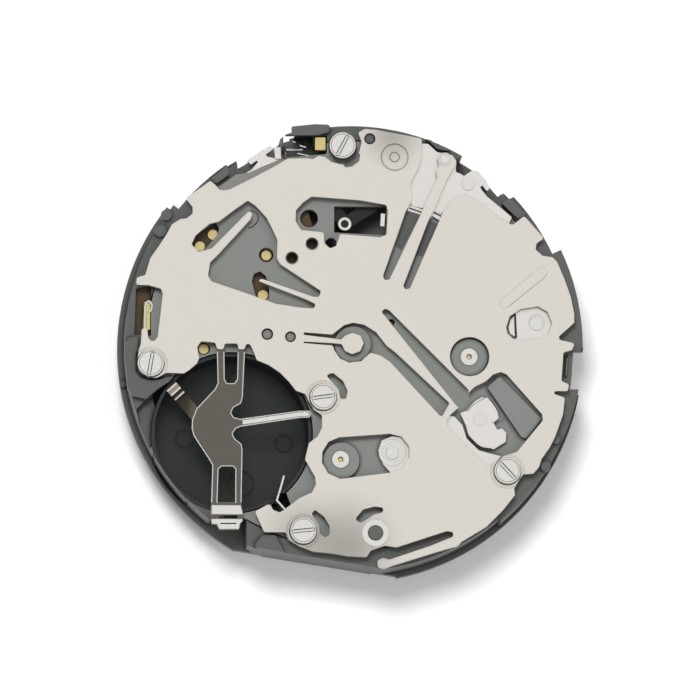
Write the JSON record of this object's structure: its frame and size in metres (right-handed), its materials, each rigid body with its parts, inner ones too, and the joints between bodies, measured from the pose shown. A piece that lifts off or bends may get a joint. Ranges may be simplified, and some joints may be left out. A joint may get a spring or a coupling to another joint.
{
  "type": "quartz chronograph movement",
  "caption": "Round battery-driven chronograph movement seen from its battery side, with a steel cover, empty cell pit under a sprung strap, step motors, wheel trains and a date ring.",
  "frame": {"origin": "on the hand axis in the dial seat plane", "axes": "+Z towards the battery side, +Y to the winding stem at 3 o'clock, +X to 12 o'clock"},
  "size_m": [0.0292, 0.0279, 0.007],
  "materials": {
    "grey_plastic": "satin",
    "bridge_plastic": "satin",
    "dark_plastic": "satin",
    "cover_steel": "satin",
    "strap_steel": "satin",
    "screw_steel": "polished",
    "lever_steel": "satin",
    "dark_steel": "satin",
    "contact_steel": "satin",
    "wheel_brass": "satin",
    "gold": "polished",
    "rotor_metal": "satin",
    "soft_iron": "satin",
    "copper": "satin",
    "board": "satin",
    "chip": "satin",
    "can_metal": "satin",
    "ring_white": "satin"
  },
  "bodies": {
    "movement": {"main_plate": "grey_plastic", "battery_cup": "dark_plastic", "train_bridge": "bridge_plastic", "cover_plate": "cover_steel", "cover_screws": "screw_steel", "guide_post": "grey_plastic", "guide_collar": "screw_steel", "pivot_bearings": "screw_steel", "lever_studs": "screw_steel", "date_guard": "lever_steel", "guard_screws": "screw_steel", "yoke_post": "screw_steel", "circuit_board": "board", "control_chip": "chip", "quartz_can": "can_metal", "board_contacts": "gold", "gold_terminals": "gold", "battery_contact_strip": "contact_steel", "side_contact_leaf": "lever_steel", "time_stator": "soft_iron", "time_coil_core": "soft_iron", "time_coil_winding": "copper", "chrono_stator": "soft_iron", "chrono_coil_core": "soft_iron", "chrono_coil_winding": "copper"},
    "battery_clamp": {"battery_clamp": "strap_steel"},
    "centre_wheel": {"centre_wheel": "wheel_brass"},
    "third_wheel": {"third_wheel": "wheel_brass"},
    "small_seconds_wheel": {"small_seconds_wheel": "wheel_brass"},
    "fifth_wheel": {"fifth_wheel": "wheel_brass"},
    "time_rotor": {"time_rotor": "rotor_metal"},
    "chrono_rotor": {"chrono_rotor": "rotor_metal"},
    "chrono_seconds_wheel": {"chrono_seconds_wheel": "wheel_brass"},
    "chrono_intermediate_wheel": {"chrono_intermediate_wheel": "wheel_brass"},
    "minute_transfer_wheel": {"minute_transfer_wheel": "wheel_brass"},
    "minute_first_idler": {"minute_first_idler": "wheel_brass"},
    "minute_second_idler": {"minute_second_idler": "wheel_brass"},
    "minute_counter_wheel": {"minute_counter_wheel": "wheel_brass"},
    "hour_transfer_wheel": {"hour_transfer_wheel": "wheel_brass"},
    "hour_first_idler": {"hour_first_idler": "wheel_brass"},
    "hour_second_idler": {"hour_second_idler": "wheel_brass"},
    "hour_counter_wheel": {"hour_counter_wheel": "wheel_brass"},
    "cannon_pinion": {"cannon_pinion": "wheel_brass"},
    "hour_wheel": {"hour_wheel": "wheel_brass"},
    "minute_wheel": {"minute_wheel": "wheel_brass"},
    "setting_wheel": {"setting_wheel": "wheel_brass"},
    "date_idler": {"date_idler": "wheel_brass"},
    "date_driving_wheel": {"date_driving_wheel": "wheel_brass"},
    "date_ring": {"date_ring": "ring_white"},
    "date_jumper": {"date_jumper": "lever_steel"},
    "start_stop_lever": {"start_stop_lever": "lever_steel"},
    "reset_lever": {"reset_lever": "lever_steel"},
    "operating_lever": {"operating_lever": "lever_steel"},
    "hammer": {"hammer": "lever_steel"},
    "minute_hammer": {"minute_hammer": "lever_steel"},
    "setting_lever": {"setting_lever": "dark_steel"},
    "yoke": {"yoke": "lever_steel"},
    "clutch_wheel": {"clutch_wheel": "dark_steel"}
  },
  "joints": [
    {"name": "centre_wheel_spin", "type": "hinge", "parent": "movement", "child": "centre_wheel", "pos_m": [0, 0, 0.0005], "axis": [0, 0, 1], "continuous": true},
    {"name": "third_wheel_spin", "type": "hinge", "parent": "movement", "child": "third_wheel", "pos_m": [-0.00425, 0.00149, 0.0005], "axis": [0, 0, 1], "continuous": true},
    {"name": "small_seconds_wheel_spin", "type": "hinge", "parent": "movement", "child": "small_seconds_wheel", "pos_m": [-0.0073, 0, 0.0005], "axis": [0, 0, 1], "continuous": true},
    {"name": "fifth_wheel_spin", "type": "hinge", "parent": "movement", "child": "fifth_wheel", "pos_m": [-0.00813, 0.00118, 0.0005], "axis": [0, 0, 1], "continuous": true},
    {"name": "time_rotor_spin", "type": "hinge", "parent": "movement", "child": "time_rotor", "pos_m": [-0.00856, 0.00236, 0.0005], "axis": [0, 0, 1], "continuous": true},
    {"name": "chrono_rotor_spin", "type": "hinge", "parent": "movement", "child": "chrono_rotor", "pos_m": [0.00511, 0.00149, 0.0005], "axis": [0, 0, 1], "continuous": true},
    {"name": "chrono_seconds_wheel_spin", "type": "hinge", "parent": "movement", "child": "chrono_seconds_wheel", "pos_m": [0, 0, 0.0005], "axis": [0, 0, 1], "continuous": true},
    {"name": "chrono_intermediate_wheel_spin", "type": "hinge", "parent": "movement", "child": "chrono_intermediate_wheel", "pos_m": [0.00316, 0.00115, 0.0005], "axis": [0, 0, 1], "continuous": true},
    {"name": "minute_transfer_wheel_spin", "type": "hinge", "parent": "movement", "child": "minute_transfer_wheel", "pos_m": [0.0012, -0.00329, 0.0005], "axis": [0, 0, 1], "continuous": true},
    {"name": "minute_first_idler_spin", "type": "hinge", "parent": "movement", "child": "minute_first_idler", "pos_m": [0.00094, -0.00416, 0.0005], "axis": [0, 0, 1], "continuous": true},
    {"name": "minute_second_idler_spin", "type": "hinge", "parent": "movement", "child": "minute_second_idler", "pos_m": [0.00127, -0.00537, 0.0005], "axis": [0, 0, 1], "continuous": true},
    {"name": "minute_counter_wheel_spin", "type": "hinge", "parent": "movement", "child": "minute_counter_wheel", "pos_m": [0, -0.0073, 0.0005], "axis": [0, 0, 1], "continuous": true},
    {"name": "hour_transfer_wheel_spin", "type": "hinge", "parent": "movement", "child": "hour_transfer_wheel", "pos_m": [0.00234, -0.00763, 0.0005], "axis": [0, 0, 1], "continuous": true},
    {"name": "hour_first_idler_spin", "type": "hinge", "parent": "movement", "child": "hour_first_idler", "pos_m": [0.00401, -0.00596, 0.0005], "axis": [0, 0, 1], "continuous": true},
    {"name": "hour_second_idler_spin", "type": "hinge", "parent": "movement", "child": "hour_second_idler", "pos_m": [0.0065, -0.00345, 0.0005], "axis": [0, 0, 1], "continuous": true},
    {"name": "hour_counter_wheel_spin", "type": "hinge", "parent": "movement", "child": "hour_counter_wheel", "pos_m": [0.0073, 0, 0.0005], "axis": [0, 0, 1], "continuous": true},
    {"name": "cannon_pinion_spin", "type": "hinge", "parent": "movement", "child": "cannon_pinion", "pos_m": [0, 0, 0.0005], "axis": [0, 0, 1], "continuous": true},
    {"name": "hour_wheel_spin", "type": "hinge", "parent": "movement", "child": "hour_wheel", "pos_m": [0, 0, 0.0005], "axis": [0, 0, 1], "continuous": true},
    {"name": "minute_wheel_spin", "type": "hinge", "parent": "movement", "child": "minute_wheel", "pos_m": [0.00062, 0.00232, 0.0005], "axis": [0, 0, 1], "continuous": true},
    {"name": "setting_wheel_spin", "type": "hinge", "parent": "movement", "child": "setting_wheel", "pos_m": [0.00039, 0.00501, 0.0005], "axis": [0, 0, 1], "continuous": true},
    {"name": "date_idler_spin", "type": "hinge", "parent": "movement", "child": "date_idler", "pos_m": [-0.00328, 0.00088, 0.0005], "axis": [0, 0, 1], "continuous": true},
    {"name": "date_driving_wheel_spin", "type": "hinge", "parent": "movement", "child": "date_driving_wheel", "pos_m": [-0.00665, 0.00371, 0.0005], "axis": [0, 0, 1], "continuous": true},
    {"name": "date_ring_spin", "type": "hinge", "parent": "movement", "child": "date_ring", "pos_m": [0, 0, 0.0005], "axis": [0, 0, 1], "continuous": true},
    {"name": "battery_clamp_lift", "type": "hinge", "parent": "movement", "child": "battery_clamp", "pos_m": [-0.00754, -0.0013, 0.00462], "axis": [-0.9945, -0.1045, 0], "range_deg": [0, 40], "stiffness_Nm_per_rad": 0.0003},
    {"name": "start_stop_push", "type": "hinge", "parent": "movement", "child": "start_stop_lever", "pos_m": [0.00135, 0.01195, 0.00395], "axis": [0, 0, 1], "range_deg": [-5, 0], "stiffness_Nm_per_rad": 0.0001},
    {"name": "reset_push", "type": "hinge", "parent": "movement", "child": "reset_lever", "pos_m": [-0.01019, 0.00813, 0.00395], "axis": [0, 0, 1], "range_deg": [-6, 0], "stiffness_Nm_per_rad": 0.0001},
    {"name": "operating_swing", "type": "hinge", "parent": "movement", "child": "operating_lever", "pos_m": [0.01127, 0.00257, 0.00395], "axis": [0, 0, 1], "range_deg": [0, 4]},
    {"name": "hammer_swing", "type": "hinge", "parent": "movement", "child": "hammer", "pos_m": [0.00839, -0.00385, 0.00395], "axis": [0, 0, 1], "range_deg": [0, 8]},
    {"name": "minute_hammer_swing", "type": "hinge", "parent": "movement", "child": "minute_hammer", "pos_m": [0.00315, -0.00657, 0.00395], "axis": [0, 0, 1], "range_deg": [0, 4]},
    {"name": "setting_lever_swing", "type": "hinge", "parent": "movement", "child": "setting_lever", "pos_m": [-0.0013, 0.00761, 0.00395], "axis": [0, 0, 1], "range_deg": [0, 15]},
    {"name": "yoke_swing", "type": "hinge", "parent": "movement", "child": "yoke", "pos_m": [0.0037, 0.0066, 0.00395], "axis": [0, 0, 1], "range_deg": [0, 8]},
    {"name": "clutch_slide", "type": "slide", "parent": "movement", "child": "clutch_wheel", "axis": [0, -1, 0], "range_m": [0, 0.0004]},
    {"name": "date_jumper_swing", "type": "hinge", "parent": "movement", "child": "date_jumper", "pos_m": [-0.00241, -0.00898, 0.00395], "axis": [0, 0, 1], "range_deg": [-4, 0], "stiffness_Nm_per_rad": 0.00005}
  ],
  "couplings": [
    {"joint": "third_wheel_spin", "follows": "small_seconds_wheel_spin", "ratio": -0.13333},
    {"joint": "centre_wheel_spin", "follows": "small_seconds_wheel_spin", "ratio": 0.016667},
    {"joint": "fifth_wheel_spin", "follows": "small_seconds_wheel_spin", "ratio": -5},
    {"joint": "time_rotor_spin", "follows": "small_seconds_wheel_spin", "ratio": 30},
    {"joint": "chrono_intermediate_wheel_spin", "follows": "chrono_seconds_wheel_spin", "ratio": -15},
    {"joint": "chrono_rotor_spin", "follows": "chrono_seconds_wheel_spin", "ratio": 150},
    {"joint": "minute_transfer_wheel_spin", "follows": "chrono_seconds_wheel_spin", "ratio": -0.1},
    {"joint": "minute_first_idler_spin", "follows": "chrono_seconds_wheel_spin", "ratio": 0.044444},
    {"joint": "minute_second_idler_spin", "follows": "chrono_seconds_wheel_spin", "ratio": -0.044444},
    {"joint": "minute_counter_wheel_spin", "follows": "chrono_seconds_wheel_spin", "ratio": 0.016667},
    {"joint": "hour_transfer_wheel_spin", "follows": "chrono_seconds_wheel_spin", "ratio": -0.0041667},
    {"joint": "hour_first_idler_spin", "follows": "chrono_seconds_wheel_spin", "ratio": 0.0013889},
    {"joint": "hour_second_idler_spin", "follows": "chrono_seconds_wheel_spin", "ratio": -0.0013889},
    {"joint": "hour_counter_wheel_spin", "follows": "chrono_seconds_wheel_spin", "ratio": 0.0013889},
    {"joint": "minute_wheel_spin", "follows": "hour_wheel_spin", "ratio": -4},
    {"joint": "cannon_pinion_spin", "follows": "hour_wheel_spin", "ratio": 12},
    {"joint": "setting_wheel_spin", "follows": "hour_wheel_spin", "ratio": 8},
    {"joint": "date_idler_spin", "follows": "hour_wheel_spin", "ratio": -0.41667},
    {"joint": "date_driving_wheel_spin", "follows": "hour_wheel_spin", "ratio": 0.5},
    {"joint": "operating_swing", "follows": "start_stop_push", "ratio": -0.8},
    {"joint": "hammer_swing", "follows": "reset_push", "ratio": -1.3333},
    {"joint": "minute_hammer_swing", "follows": "reset_push", "ratio": -0.66667},
    {"joint": "setting_lever_swing", "follows": "clutch_slide", "rad_per_m": 654.5},
    {"joint": "yoke_swing", "follows": "clutch_slide", "rad_per_m": 349.07}
  ]
}
